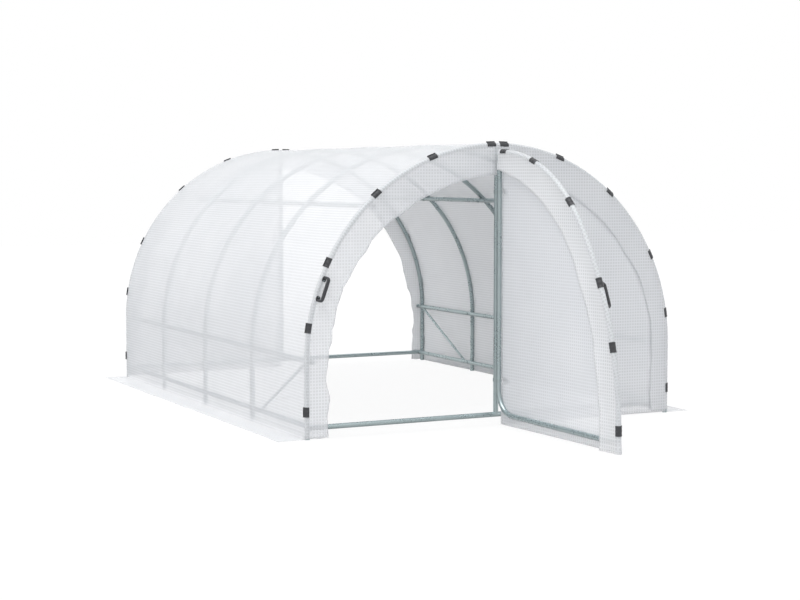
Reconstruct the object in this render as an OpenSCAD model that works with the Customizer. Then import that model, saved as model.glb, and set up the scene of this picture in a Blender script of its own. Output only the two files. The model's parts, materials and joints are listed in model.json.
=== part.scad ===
// Walk-in polytunnel greenhouse: tube frame, film cover and one hinged half-end door.
// The front faces -Y, +X is to the right seen from the front, +Z is up and the ground is z = 0.

/* [Tunnel] */
// Length between the end arches, centre to centre
tunnel_len = 4000; // [3000:50:5000]
// Radius of the arches, to the middle of the tube
arch_r = 1480; // [1400:10:1700]
// Height of the straight legs below the arch
leg_h = 530; // [450:10:800]
// Diameter of the frame tubes
tube_d = 36; // [28:1:42]

/* [Rails and braces] */
// Height of the base rails and base bars, to the middle of the tube
base_h = 80; // [60:5:150]
// Height of the middle rails, to the middle of the tube
mid_h = 530; // [350:10:560]
// Angle of the upper purlins, up from the top of the legs
purlin_angle = 47; // [30:1:60]
// Diameter of the diagonal braces
brace_d = 22; // [16:1:28]
// Distance of a brace's ends from the arches along the rails
brace_in = 65; // [50:5:120]

/* [Film cover] */
// Thickness of the film
film_t = 1.2; // [0.8:0.1:2]
// Width of the skirts that lie on the ground
skirt_w = 200; // [120:10:300]
// Width of the front flaps at the top, in from the tube's middle
flap_w = 220; // [160:5:240]
// Width of the front flaps at the legs
flap_leg_w = 150; // [100:5:160]
// Width of the back flaps at the top
back_flap_w = 165; // [110:5:200]
// Width of the back flaps at the legs
back_flap_leg_w = 100; // [70:5:110]
// Number of creases in which a flap turns over the front of the tube
flap_creases = 6; // [6:1:10]
// Height of the flaps and end panels above the ground
hem_lift = 6; // [5:1:20]
// Angle that each shoulder of the cover takes, up from the walls
shoulder_angle = 60; // [45:5:75]

/* [Door leaf] */
// Width of the leaf, from the hinge axis to the middle of the edge tube
leaf_w = 1400; // [1250:10:1410]
// Height of the middle of the leaf's top tube
leaf_top = 1960; // [1850:10:1990]
// Radius of the leaf's crown
leaf_crown_r = 1150; // [900:10:1200]
// Height of the middle of the leaf's bottom tube
leaf_base_h = 85; // [70:5:140]
// Bend at the foot of the stile, to the middle of the tube
leaf_bend_r = 100; // [60:5:160]
// Bends at the top of the stile and at the free corner, to the middle of the tube
leaf_corner_r = 30; // [25:1:60]
// Groove between the crown tube and the haunch tube, where one plugs into the other
joint_gap = 2; // [1:0.5:4]
// Wall of the tube round that plug
joint_wall = 3; // [2:0.5:5]
// Length of that plug
joint_len = 60; // [40:5:100]
// Width of the film turned in along the curved edge
leaf_hem_w = 175; // [100:5:220]
// Angle the leaf stands open from its closed place
leaf_open = 93.4; // [0:0.1:165]
// Room below the leaf's film
leaf_lift = 12; // [8:1:30]

/* [Hinges] */
// Distance of the hinge axis in front of the end arch
hinge_front = 55; // [52:1:70]
// Place of the hinge axis beside the post's middle, counted to the right
hinge_side = -8; // [-14:1:14]
// Height of a hinge strap
hinge_h = 24; // [16:1:40]
// Thickness of a hinge strap
hinge_t = 3; // [2:0.5:4]
// Height of the low hinge
hinge_low = 330; // [260:10:600]
// Height of the high hinge
hinge_high = 1680; // [1200:10:1700]

/* [Clips and handles] */
// Length of a film clip
clip_len = 64; // [40:2:80]
// Thickness of a film clip
clip_t = 2.5; // [1.5:0.1:3]
// Length of a clip's lips
clip_lip = 12; // [6:1:20]
// Height of the lowest clips
clip_low = 190; // [140:10:300]
// Angles of the clips on each half of an end arch
clip_angles = [9, 27, 50, 69.5, 88];
// Distance of the end clips from the top of the leaf's crown and the foot of its haunch
leaf_clip_in = 4; // [2:1:10]
// Shares of the crown's sweep at which its other clips sit, up from the haunch
leaf_crown_shares = [0.63, 0.17];
// Shares of the haunch's sweep at which its upper clips sit
leaf_haunch_shares = [0.7, 0.4];
// Length of a handle between the middles of its feet
handle_len = 150; // [110:5:180]
// Distance that a handle stands off
handle_out = 48; // [38:1:60]
// Diameter of a handle's grip
handle_d = 18; // [12:1:20]
// Angle of the handle on the front arch
handle_angle = 19.9; // [14:0.1:21]
// Distance of the leaf's handle below the clip on its haunch
leaf_handle_drop = 75; // [60:1:300]

/* [Clearances] */
// Gap between pieces that seat on each other
seat_gap = 0.3; // [0.2:0.05:0.5]
// Running clearance of the stile in the hinge rings, radial
hinge_fit = 0.05; // [0.02:0.01:0.1]
// Room cut in the film round a hinge
hinge_room = 6; // [5:1:12]

/* [Hidden] */
$fn = 96;
tube_r = tube_d / 2;
bay = tunnel_len / 4;
film_in = tube_r + seat_gap;
film_out = film_in + film_t;
flap_step = film_t + seat_gap;
rail_r = arch_r - tube_d - seat_gap;
cover_r = arch_r + film_in;
clip_in = film_out + seat_gap;
clip_out = clip_in + clip_t;
// Three-centred outline of the leaf: a crown arc and a flatter haunch arc, tangent to each other
spring_h = leaf_base_h + leaf_corner_r;
haunch_drop = leaf_top - leaf_crown_r - spring_h;
haunch_angle = 2 * atan((leaf_w - leaf_corner_r - leaf_crown_r) / haunch_drop);
haunch_r = leaf_crown_r + haunch_drop / sin(haunch_angle);
haunch_x = leaf_w - haunch_r;
crown_z = leaf_top - leaf_crown_r;
// The origin lies under the middle of the whole part, with the leaf open
leaf_reach = leaf_w * sin(leaf_open) + clip_out;
front_y = -(tunnel_len + flap_step + clip_out - hinge_front - leaf_reach) / 2;
back_y = front_y + tunnel_len;
post_ring = film_in + hinge_t;
big = 4 * tunnel_len;

steel = [0.60, 0.66, 0.67];
film = [0.93, 0.94, 0.96];
black = [0.13, 0.13, 0.14];

// Shared shapes

// Stands a shape drawn in the plan upright, with its Y going up and its height going forward
module upright(y, z = 0) {
    translate([0, y, z])
        rotate([90, 0, 0])
            children();
}

module bar_x(x0, x1, y, z, r) {
    translate([x0, y, z])
        rotate([0, 90, 0])
            cylinder(r = r, h = x1 - x0);
}

module bar_y(x, y0, y1, z, r) {
    translate([x, y0, z])
        rotate([-90, 0, 0])
            cylinder(r = r, h = y1 - y0);
}

// A part of a ring swept from angle a0 to a1 in the upright plane, section drawn at its radius
module sweep(a0, a1) {
    rotate([0, 0, a0])
        rotate_extrude(angle = a1 - a0)
            children();
}

// The part of a ring that lies right of its middle and above y0
module ring_part(r0, r1, y0) {
    intersection() {
        difference() {
            circle(r = r1);
            circle(r = r0);
        }
        translate([0, y0])
            square([2 * r1, 2 * r1 - y0]);
    }
}

// Frame

module arch(i) {
    color(steel)
    translate([0, front_y + i * bay, 0]) {
        for (side = [-1, 1])
            translate([side * arch_r, 0, 0])
                cylinder(d = tube_d, h = leg_h);
        upright(0, leg_h)
            sweep(0, 180)
                translate([arch_r, 0])
                    circle(d = tube_d);
    }
}

module base_bar(y) {
    color(steel)
    difference() {
        bar_x(-arch_r, arch_r, y, base_h, tube_r);
        for (side = [-1, 1])
            translate([side * arch_r, y, 0])
                cylinder(r = film_in, h = leg_h);
    }
}

module base_rail(side) {
    color(steel)
    difference() {
        bar_y(side * rail_r, front_y, back_y, base_h, tube_r);
        for (y = [front_y, back_y])
            bar_x(-arch_r, arch_r, y, base_h, film_in);
    }
}

module long_rail(x, z) {
    color(steel)
    bar_y(x, front_y - tube_r, back_y + tube_r, z, tube_r);
}

module centre_post(y) {
    color(steel)
    difference() {
        translate([0, y, base_h])
            cylinder(r = tube_r, h = leg_h + arch_r - base_h);
        bar_x(-arch_r, arch_r, y, base_h, film_in);
        upright(y, leg_h)
            sweep(0, 180)
                translate([arch_r, 0])
                    circle(r = film_in);
    }
}

// Runs from the middle rail beside an end arch down to the base rail beside the next arch
module brace(side, y_high, y_low) {
    run = y_low - y_high;
    drop = mid_h - base_h;
    color(steel)
    difference() {
        translate([side * rail_r, y_high, mid_h])
            rotate([-90 - atan2(drop, run), 0, 0])
                cylinder(d = brace_d, h = sqrt(run * run + drop * drop));
        bar_y(side * rail_r, front_y, back_y, mid_h, film_in);
        bar_y(side * rail_r, front_y, back_y, base_h, film_in);
    }
}

// Film cover

module cover_wall(side) {
    color(film)
    translate([side > 0 ? cover_r : -cover_r - film_t, front_y - flap_step, 0])
        cube([film_t, tunnel_len + 2 * flap_step, leg_h]);
}

module cover_arc(a0, a1) {
    color(film)
    upright(back_y + flap_step, leg_h)
        sweep(a0, a1)
            translate([cover_r, 0])
                square([film_t, tunnel_len + 2 * flap_step]);
}

module skirt(side) {
    color(film)
    translate([side > 0 ? cover_r + film_t : -cover_r - film_t - skirt_w, front_y - flap_step, 0])
        cube([skirt_w, tunnel_len + 2 * flap_step, film_t]);
}

// A quarter turn round a tube in straight lines that touch a circle, from its right to its top
function crease_points(r, step = 90 / flap_creases) = concat([[r, 0]],
    [for (a = [step / 2 : step : 90]) [cos(a), sin(a)] * r / cos(step / 2)], [[0, r]]);

function backwards(points) = [for (i = [len(points) - 1 : -1 : 0]) points[i]];

// Section of a flap: creased over the front of the tube, then straight in
module flap_section(w) {
    translate([arch_r, flap_step])
        polygon(concat(crease_points(film_out), backwards(crease_points(film_in))));
    translate([arch_r - w, flap_step + film_in])
        square([w, film_t]);
}

// The right half of a front flap, drawn at the origin. Its inner edge goes straight on a little over
// the leg, then follows a round with a lower middle than the arch, so that the flap widens to the top.
module flap_half(top_w, leg_w) {
    top_z = arch_r - top_w;
    leg_x = arch_r - leg_w;
    bend_z = leg_w / 4;
    mid_z = (top_z * top_z - leg_x * leg_x - bend_z * bend_z) / (2 * (top_z - bend_z));
    translate([0, 0, hem_lift])
        linear_extrude(height = leg_h - hem_lift)
            mirror([0, 1, 0])
                flap_section(leg_w);
    difference() {
        upright(0, leg_h)
            sweep(0, 90)
                flap_section(top_w + film_t);
        intersection() {
            upright(big / 2, leg_h + mid_z)
                cylinder(r = top_z - mid_z, h = big);
            translate([-big, -big, leg_h - big])
                cube([big + leg_x, 2 * big, 2 * big]);
        }
    }
}

// Puts a front right half at one of the four corners
module corner(side, end) {
    translate([0, end < 0 ? front_y : back_y, 0])
        mirror([side < 0 ? 1 : 0, 0, 0])
            mirror([0, end > 0 ? 1 : 0, 0])
                children();
}

module flap(side, end) {
    color(film)
    corner(side, end)
        flap_half(end < 0 ? flap_w : back_flap_w, end < 0 ? flap_leg_w : back_flap_leg_w);
}

// Closes one half of an end between the post and the arch, in front of both
module end_panel(side, end) {
    color(film)
    corner(side, end)
        difference() {
            union() {
                translate([0, -film_out, hem_lift])
                    cube([arch_r, film_t, leg_h - hem_lift]);
                upright(-film_in, leg_h)
                    sweep(0, 90)
                        square([arch_r, film_t]);
            }
            if (end < 0)
                for (z = [hinge_low, hinge_high])
                    translate([-big / 2, -2 * film_out, z - hinge_h / 2 - hinge_room])
                        cube([big / 2 + post_ring + hinge_room, 2 * film_out, hinge_h + 2 * hinge_room]);
        }
}

// Clips and handles

// Section of a clip that sits over the outside and the front of an end arch
module clip_section() {
    translate([arch_r, flap_step])
        ring_part(clip_in, clip_out, 0);
    translate([arch_r + clip_in, flap_step - clip_lip])
        square([clip_t, clip_lip]);
    translate([arch_r - clip_lip, flap_step + clip_in])
        square([clip_lip, clip_t]);
}

module arch_clips(end) {
    span = clip_len / arch_r * 180 / PI;
    color(black)
    for (side = [-1, 1])
        corner(side, end) {
            translate([0, 0, clip_low - clip_len / 2])
                linear_extrude(height = clip_len)
                    mirror([0, 1, 0])
                        clip_section();
            for (a = clip_angles)
                upright(0, leg_h)
                    sweep(a - span / 2, a + span / 2)
                        clip_section();
        }
}

// A grip on two feet, along X, standing up from z = 0
module grip() {
    bend = handle_d;
    foot_r = handle_d * 0.85;
    top = handle_out - handle_d / 2;
    for (m = [0, 1])
        mirror([m, 0, 0])
            translate([handle_len / 2, 0, 0]) {
                cylinder(r = foot_r, h = handle_d / 3);
                cylinder(d = handle_d, h = top - bend);
                translate([-bend, 0, top - bend])
                    rotate([90, 0, 0])
                        sweep(0, 90)
                            translate([bend, 0])
                                circle(d = handle_d);
            }
    translate([-handle_len / 2 + bend, 0, top])
        rotate([0, 90, 0])
            cylinder(d = handle_d, h = handle_len - 2 * bend);
}

module arch_handle() {
    color(black)
    corner(-1, -1)
        upright(0, leg_h)
            rotate([0, 0, handle_angle])
                translate([arch_r, 0, flap_step + film_out + seat_gap])
                    rotate([0, 0, 90])
                        grip();
}

// Hinges, fixed to the front post, with the leaf's stile turning in the front rings

module hinge_rings(r_post, r_stile, h) {
    translate([0, front_y, -h / 2])
        cylinder(r = r_post, h = h);
    translate([hinge_side, front_y - hinge_front, -h / 2])
        cylinder(r = r_stile, h = h);
}

module door_hinges() {
    reach = sqrt(hinge_front * hinge_front + hinge_side * hinge_side);
    color(steel)
    for (z = [hinge_low, hinge_high])
        translate([0, 0, z])
            difference() {
                union() {
                    hinge_rings(post_ring, tube_r + hinge_fit + hinge_t, hinge_h);
                    translate([0, front_y, 0])
                        rotate([0, 0, -90 + atan2(hinge_side, hinge_front)])
                            translate([0, -hinge_t, -hinge_h / 2])
                                cube([reach, 2 * hinge_t, hinge_h]);
                }
                hinge_rings(film_in, tube_r + hinge_fit, 2 * hinge_h);
            }
}

// Door leaf, drawn with its hinge axis at the origin, the leaf along +X and its outside on +Y

module leaf_place() {
    translate([hinge_side, front_y - hinge_front, 0])
        rotate([0, 0, leaf_open - 180])
            children();
}

// Puts a shape drawn round the crown's or the haunch's middle in the leaf's plane, outside up
module crown_place() {
    translate([leaf_corner_r, 0, crown_z])
        mirror([0, 1, 0])
            upright(0)
                children();
}

module haunch_place() {
    translate([haunch_x, 0, spring_h])
        mirror([0, 1, 0])
            upright(0)
                children();
}

// Sweeps a section along the crown and the haunch, drawn at the tube's middle, outside up,
// each stopping half a gap short of where they meet
module leaf_curve(gap = 0) {
    crown_place()
        rotate([0, 0, 90])
            mirror([0, 1, 0])
                sweep(0, 90 - haunch_angle - gap / 2 / leaf_crown_r * 180 / PI)
                    translate([leaf_crown_r, 0])
                        children();
    haunch_place()
        sweep(0, haunch_angle - gap / 2 / haunch_r * 180 / PI)
            translate([haunch_r, 0])
                children();
}

// The same, carried level to the hinge side and straight down to the film's hem
module leaf_edge(gap = 0) {
    leaf_curve(gap)
        children();
    translate([leaf_corner_r, 0, leaf_top])
        rotate([0, -90, 0])
            linear_extrude(height = leaf_corner_r)
                children();
    translate([leaf_w, 0, leaf_lift])
        linear_extrude(height = spring_h - leaf_lift)
            children();
}

// A quarter bend of tube in the leaf's plane
module leaf_bend(x, z, r, a0) {
    translate([x, 0, z])
        upright(0)
            sweep(a0, a0 + 90)
                translate([r, 0])
                    circle(r = tube_r);
}

module door_frame() {
    color(steel)
    leaf_place() {
        translate([0, 0, leaf_base_h + leaf_bend_r])
            cylinder(r = tube_r, h = leaf_top - leaf_corner_r - leaf_base_h - leaf_bend_r);
        leaf_bend(leaf_bend_r, leaf_base_h + leaf_bend_r, leaf_bend_r, 180);
        leaf_bend(leaf_corner_r, leaf_top - leaf_corner_r, leaf_corner_r, 90);
        leaf_bend(leaf_w - leaf_corner_r, spring_h, leaf_corner_r, 270);
        bar_x(leaf_bend_r, leaf_w - leaf_corner_r, 0, leaf_base_h, tube_r);
        leaf_curve(joint_gap)
            circle(r = tube_r);
        crown_place()
            rotate([0, 0, haunch_angle])
                translate([leaf_crown_r, 0, 0])
                    rotate([90, 0, 0])
                        cylinder(r = tube_r - joint_wall, h = joint_len, center = true);
    }
}

// The leaf's plane in its middle, with straight sides that stop short of its curved edge
module leaf_field(inset) {
    crown = [for (i = [0 : 7]) let (a = 90 - i / 8 * (90 - haunch_angle))
        [leaf_corner_r + (leaf_crown_r - inset) * cos(a), crown_z + (leaf_crown_r - inset) * sin(a)]];
    haunch = [for (i = [1 : 8]) let (a = haunch_angle * (1 - i / 8))
        [haunch_x + (haunch_r - inset) * cos(a), spring_h + (haunch_r - inset) * sin(a)]];
    polygon(concat([[0, leaf_lift], [0, leaf_top - inset]], crown, haunch,
        [[leaf_w - inset, leaf_lift]]));
}

// The film on the outside of the leaf and round its curved edge
module door_sheet() {
    inset = 20;
    color(film)
    leaf_place()
        difference() {
            union() {
                translate([0, film_out, 0])
                    rotate([90, 0, 0])
                        linear_extrude(height = film_t)
                            leaf_field(inset);
                leaf_edge() {
                    ring_part(film_in, film_out, -2 * film_out);
                    translate([-2 * inset, film_in])
                        square([2 * inset, film_t]);
                }
            }
            for (z = [hinge_low, hinge_high])
                translate([-post_ring, 0, z - hinge_h / 2 - hinge_room])
                    cube([2 * post_ring + hinge_room, 2 * film_out, hinge_h + 2 * hinge_room]);
        }
}

// The film turned in along the inside of the curved edge
module door_hem() {
    color(film)
    leaf_place()
        leaf_edge(seat_gap)
            translate([-leaf_hem_w, -film_out])
                square([leaf_hem_w, film_t]);
}

// Section of a clip round the leaf's edge, with a lip on the turned-in film
module leaf_clip_section() {
    ring_part(clip_in, clip_out, -2 * clip_out);
    translate([-clip_lip, -clip_out])
        square([clip_lip, clip_t]);
}

module door_clips() {
    crown_span = clip_len / leaf_crown_r * 180 / PI;
    haunch_span = clip_len / haunch_r * 180 / PI;
    crown_end = (clip_len / 2 + leaf_clip_in) / leaf_crown_r * 180 / PI;
    haunch_end = (clip_len / 2 + leaf_clip_in) / haunch_r * 180 / PI;
    crown_angles = concat([90 - crown_end],
        [for (share = leaf_crown_shares) haunch_angle + share * (90 - haunch_angle)]);
    haunch_angles = concat([haunch_end],
        [for (share = leaf_haunch_shares) share * haunch_angle]);
    color(black)
    leaf_place() {
        for (a = crown_angles)
            crown_place()
                sweep(a - crown_span / 2, a + crown_span / 2)
                    translate([leaf_crown_r, 0])
                        leaf_clip_section();
        for (a = haunch_angles)
            haunch_place()
                sweep(a - haunch_span / 2, a + haunch_span / 2)
                    translate([haunch_r, 0])
                        leaf_clip_section();
    }
}

module door_handle() {
    color(black)
    leaf_place()
        haunch_place()
            rotate([0, 0, leaf_haunch_shares[0] * haunch_angle - leaf_handle_drop / haunch_r * 180 / PI])
                translate([haunch_r - handle_d, 0, film_out + seat_gap])
                    rotate([0, 0, 90])
                        grip();
}

arch(0);  // arch_1
arch(1);  // arch_2
arch(2);  // arch_3
arch(3);  // arch_4
arch(4);  // arch_5
base_rail(-1);  // base_rail_left
base_rail(1);  // base_rail_right
long_rail(-rail_r, mid_h);  // mid_rail_left
long_rail(rail_r, mid_h);  // mid_rail_right
long_rail(-rail_r * cos(purlin_angle), leg_h + rail_r * sin(purlin_angle));  // upper_purlin_left
long_rail(rail_r * cos(purlin_angle), leg_h + rail_r * sin(purlin_angle));  // upper_purlin_right
base_bar(front_y);  // base_bar_front
base_bar(back_y);  // base_bar_back
centre_post(front_y);  // centre_post_front
centre_post(back_y);  // centre_post_back
brace(-1, front_y + brace_in, front_y + bay - brace_in);  // brace_front_left
brace(1, back_y - brace_in, back_y - bay + brace_in);  // brace_back_right
cover_wall(-1);  // cover_wall_left
cover_arc(180 - shoulder_angle, 180);  // cover_shoulder_left
cover_arc(shoulder_angle, 180 - shoulder_angle);  // cover_crown
cover_arc(0, shoulder_angle);  // cover_shoulder_right
cover_wall(1);  // cover_wall_right
skirt(-1);  // skirt_left
skirt(1);  // skirt_right
flap(-1, -1);  // front_flap_left
flap(1, -1);  // front_flap_right
flap(-1, 1);  // back_flap_left
flap(1, 1);  // back_flap_right
end_panel(1, -1);  // front_panel_right
end_panel(-1, 1);  // back_panel_left
arch_clips(-1);  // arch_clips_front
arch_clips(1);  // arch_clips_back
arch_handle();
door_hinges();
door_frame();
door_sheet();
door_hem();
door_clips();
door_handle();
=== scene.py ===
"""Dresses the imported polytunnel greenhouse: film, clips, bolts, finishes and a studio stage."""

import json
import math

import bmesh
import bpy
from mathutils import Matrix, Vector, noise


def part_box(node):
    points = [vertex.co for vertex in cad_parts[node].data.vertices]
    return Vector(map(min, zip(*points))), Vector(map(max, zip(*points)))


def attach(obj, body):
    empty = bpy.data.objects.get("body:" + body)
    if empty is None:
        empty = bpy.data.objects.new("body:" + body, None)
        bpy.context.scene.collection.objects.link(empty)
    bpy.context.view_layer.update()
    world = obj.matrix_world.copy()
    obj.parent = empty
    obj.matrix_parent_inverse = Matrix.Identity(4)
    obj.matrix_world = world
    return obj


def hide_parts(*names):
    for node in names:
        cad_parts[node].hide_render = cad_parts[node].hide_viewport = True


bl_info = {
    "name": "Polytunnel greenhouse",
    "version": (1, 0, 0),
    "blender": (4, 5, 0),
    "location": "View3D > Sidebar > Polytunnel",
    "description": "Dresses a tube frame with film, clips and bolts, and sets a studio stage",
    "category": "Object",
}

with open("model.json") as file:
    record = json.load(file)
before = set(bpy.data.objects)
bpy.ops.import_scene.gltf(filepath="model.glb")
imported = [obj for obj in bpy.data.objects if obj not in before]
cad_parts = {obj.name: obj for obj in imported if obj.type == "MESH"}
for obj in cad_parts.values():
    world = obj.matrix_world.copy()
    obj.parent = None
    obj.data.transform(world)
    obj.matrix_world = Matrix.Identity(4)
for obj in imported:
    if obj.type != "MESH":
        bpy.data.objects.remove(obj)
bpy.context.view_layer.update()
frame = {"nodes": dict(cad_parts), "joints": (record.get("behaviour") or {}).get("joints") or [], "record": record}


def middle(node, axis):
    """The middle of a CAD node's box along one axis."""
    low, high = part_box(node)
    return (low[axis] + high[axis]) / 2


# Sizes read from the frame, in metres
ARCH_LOW, ARCH_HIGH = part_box("arch_1")
TUBE_R = round((ARCH_HIGH.y - ARCH_LOW.y) / 2, 4)
ARCH_R = round(ARCH_HIGH.x - TUBE_R, 4)
LEG_H = round(ARCH_HIGH.z - TUBE_R - ARCH_R, 4)
ARCH_YS = [middle("arch_%d" % (i + 1), 1) for i in range(5)]
FRONT_Y, BACK_Y = ARCH_YS[0], ARCH_YS[-1]
BAY = (BACK_Y - FRONT_Y) / 4
WALL_LOW, WALL_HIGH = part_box("cover_wall_right")
FILM_T = round(WALL_HIGH.x - WALL_LOW.x, 5)
FILM_R = round((WALL_HIGH.x + WALL_LOW.x) / 2 - ARCH_R, 5)
FLAP_STEP = round(FRONT_Y - WALL_LOW.y, 5)
SKIRT_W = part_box("skirt_right")[1].x - WALL_HIGH.x
RAIL_X = middle("mid_rail_right", 0)
BASE_H = middle("base_rail_right", 2)
MID_H = middle("mid_rail_right", 2)
PURLIN_X, PURLIN_H = middle("upper_purlin_right", 0), middle("upper_purlin_right", 2)
HINGE = frame["joints"][0]
HINGE_X, HINGE_Y = HINGE["pos_m"][:2]
LEAF_TURN = math.radians(-HINGE["range_deg"][0] - 180)
LEAF_ALONG = Vector((math.cos(LEAF_TURN), math.sin(LEAF_TURN), 0))
LEAF_OUTSIDE = Vector((-math.sin(LEAF_TURN), math.cos(LEAF_TURN), 0))
LEAF_LOW, LEAF_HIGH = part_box("door_frame")
LEAF_TOP = round(LEAF_HIGH.z - TUBE_R, 4)
LEAF_BASE = round(LEAF_LOW.z + TUBE_R, 4)
LEAF_W = round((HINGE_Y - TUBE_R - LEAF_LOW.y) / -math.sin(LEAF_TURN), 3)
LEAF_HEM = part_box("door_sheet")[0].z
HINGE_LOW, HINGE_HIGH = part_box("door_hinges")

# Both ends: the middle of the end arch and the direction outward from it
ENDS = {"front": (FRONT_Y, -1), "back": (BACK_Y, 1)}
# Distance from a tube's middle to what sits on its film, and height of film that lies on the ground
SEAT = FILM_R + FILM_T / 2 + 0.0003
LYING = FILM_T / 2 + 0.0001
# Radius of the thin braces, and where their bolts sit along them
BRACE_R = 0.011
BRACE_ENDS = (0.06, 0.94)
# Half the height and half the thickness of a hinge strap, and the heights of the two straps
STRAP_HALF, STRAP_WEB = 0.012, 0.003
HINGE_HEIGHTS = (HINGE_LOW.z + STRAP_HALF, HINGE_HIGH.z - STRAP_HALF)
# Notches in the film round the hinges: reach from the post's middle, half height and edges
NOTCH_X, NOTCH_Z = 0.0285, 0.018
NOTCH_EDGES = [z + side * NOTCH_Z for z in HINGE_HEIGHTS for side in (-1, 1)]

# The leaf's outline: a crown arc, a flatter haunch arc tangent to it at an angle, and small corners
CROWN, HAUNCH = 0, 1
CROWN_R, CORNER_R = 1.15, 0.03
SPRING = LEAF_BASE + CORNER_R
DROP = LEAF_TOP - CROWN_R - SPRING
MEET = 2 * math.atan((LEAF_W - CORNER_R - CROWN_R) / DROP)
HAUNCH_R = CROWN_R + DROP / math.sin(MEET)
LEAF_ARCS = (((CORNER_R, LEAF_TOP - CROWN_R), CROWN_R), ((LEAF_W - HAUNCH_R, SPRING), HAUNCH_R))
# Half the width and the depth of the joint in the leaf's tube where its two arcs meet
JOINT_HALF, JOINT_DIP = 0.001, 0.002
# Radius of the leaf tube's lower bend at its hinges
LEAF_BEND = 0.175
# How much higher the leaf's lower rail lies at its hinges, and how much lower at its free side
RAIL_LIFT, RAIL_FALL = 0.008, 0.012

# Free edges of the flaps: place, from -1 at the foot over 0 at the top of the leg to 1 at the crown,
# and width in from the tube's middle
FLAP_EDGES = {
    ("front", "left"): (
        (-1, 0.148), (-0.81, 0.144), (-0.72, 0.142), (-0.6, 0.154), (-0.5, 0.164), (-0.42, 0.161),
        (-0.35, 0.147), (-0.27, 0.137), (-0.18, 0.139), (-0.03, 0.149), (0.04, 0.154), (0.07, 0.174),
        (0.105, 0.162), (0.131, 0.174), (0.17, 0.169), (0.213, 0.172), (0.25, 0.166), (0.29, 0.182),
        (0.35, 0.184), (0.40, 0.202), (0.445, 0.191), (0.5, 0.195), (0.6, 0.221), (0.67, 0.220),
        (0.74, 0.227), (0.83, 0.221), (0.92, 0.217), (1, 0.211)),
    ("front", "right"): (
        (-1, 0.147), (-0.85, 0.150), (-0.7, 0.160), (-0.55, 0.149), (-0.4, 0.152), (-0.2, 0.143),
        (-0.02, 0.151), (0.07, 0.146), (0.17, 0.161), (0.24, 0.163), (0.31, 0.178), (0.365, 0.194),
        (0.42, 0.193), (0.5, 0.200), (0.61, 0.205), (0.8, 0.215), (1, 0.211)),
    ("back", "right"): (
        (-1, 0.104), (-0.72, 0.103), (-0.56, 0.094), (-0.45, 0.102), (-0.32, 0.086), (-0.15, 0.087),
        (0, 0.104), (0.045, 0.109), (0.09, 0.140), (0.125, 0.146), (0.165, 0.154), (0.225, 0.139),
        (0.30, 0.155), (0.39, 0.160), (0.52, 0.156), (0.7, 0.168), (0.85, 0.160), (1, 0.164)),
    ("back", "left"): (
        (-1, 0.101), (-0.8, 0.106), (-0.6, 0.097), (-0.4, 0.103), (-0.2, 0.092), (0, 0.101),
        (0.08, 0.128), (0.16, 0.149), (0.25, 0.143), (0.36, 0.158), (0.5, 0.161), (0.65, 0.157),
        (0.82, 0.167), (1, 0.164)),
}
# Heights of the flaps' lower edges
FLAP_FEET = {("front", "left"): 0.007, ("front", "right"): 0.026,
             ("back", "right"): 0.009, ("back", "left"): 0.012}
# Widths of the film turned in on the leaf, from its top to its foot
HEM_EDGE = ((0, 0.125), (0.08, 0.164), (0.21, 0.191), (0.33, 0.191), (0.42, 0.183), (0.49, 0.174),
            (0.56, 0.180), (0.64, 0.177), (0.70, 0.170), (0.77, 0.181), (0.86, 0.181), (0.93, 0.171),
            (1, 0.176))
# Distance from the hinge's axis to the edge of the leaf's film
LEAF_FILM_START = 0.014
# Height of the free lower corner of the leaf's film, and how far it swings out
HEM_FOOT, HEM_SWING = 0.0025, 0.007
# Height of the end panels' lower edges, and how far the front one keeps clear of the leaf's lower bend
PANEL_FOOT, PANEL_CLEAR = 0.008, 0.032
# How far the film sinks in or stands off: a mean and the noise or wave about it
COVER_NOISE = 0.0016
PANEL_SLACK, PANEL_NOISE = 0.006, 0.005
LEAF_SLACK, LEAF_NOISE, LEAF_FOOT_SLACK = 0.004, 0.0045, 0.004
FLAP_WAVE = 0.0046
BACKED_STAND, BACKED_WAVE = 0.0065, 0.0032
BAND_STAND, BAND_WAVE = 0.0042, 0.0026
# Trim, curl and lift of the skirts' free edges
SKIRT_TRIM, SKIRT_CURL, SKIRT_LIFT = 0.004, 0.0045, 0.0012
# The one fold in the leaf's turned-in band: its place, how it slants, its width and its height
FOLD_PLACE, FOLD_SLANT, FOLD_WIDTH, FOLD_HEIGHT = 0.905, 0.03, 0.018, 0.006
# Film that lies double has its flat places moved on by this many thread pitches, so that its threads still meet;
# there its colour is painted lighter, as painted light for the light that passes between its two layers.
TURNED_IN = 1000

# Places of the clips and handles: angles on an arch, height on a leg, shares of the leaf's two arcs
CLIP_ANGLES = (9, 27, 50, 69.5, 88)
CLIP_LOW = 0.19
CROWN_CLIPS, HAUNCH_CLIPS = (0.63, 0.17), (0.7, 0.4)
ARCH_GRIP, LEAF_GRIP_DROP = 19.85, 0.076
# Gap between the leaf's outermost clips and the ends of its arcs
CLIP_END_GAP = 0.004
# Beads of a clip: places along half its length and shares of its wall
CLIP_BEADS = (
    (-1.0, 0.6), (-0.965, 0.95), (-0.9, 1.0), (-0.8, 1.0), (-0.76, 0.72), (-0.2, 0.72), (-0.15, 1.0),
    (0.15, 1.0), (0.2, 0.72), (0.76, 0.72), (0.8, 1.0), (0.9, 1.0), (0.965, 0.95), (1.0, 0.6))
# A clip's wing from its edge: shares of the flare outward and back, lean of its outside, share of the wall
CLIP_WING = ((1.0, 0.4, 0.6, 0.75), (0.55, 0.33, 0.68, 0.75), (0.12, 0.2, 0.8, 0.9), (0.0, 0.1, 0.98, 1.0))
# How far the grips stand in from the middle of the arch's tube and of the leaf's
ARCH_GRIP_IN, LEAF_GRIP_IN = 0.011, 0.018
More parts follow.
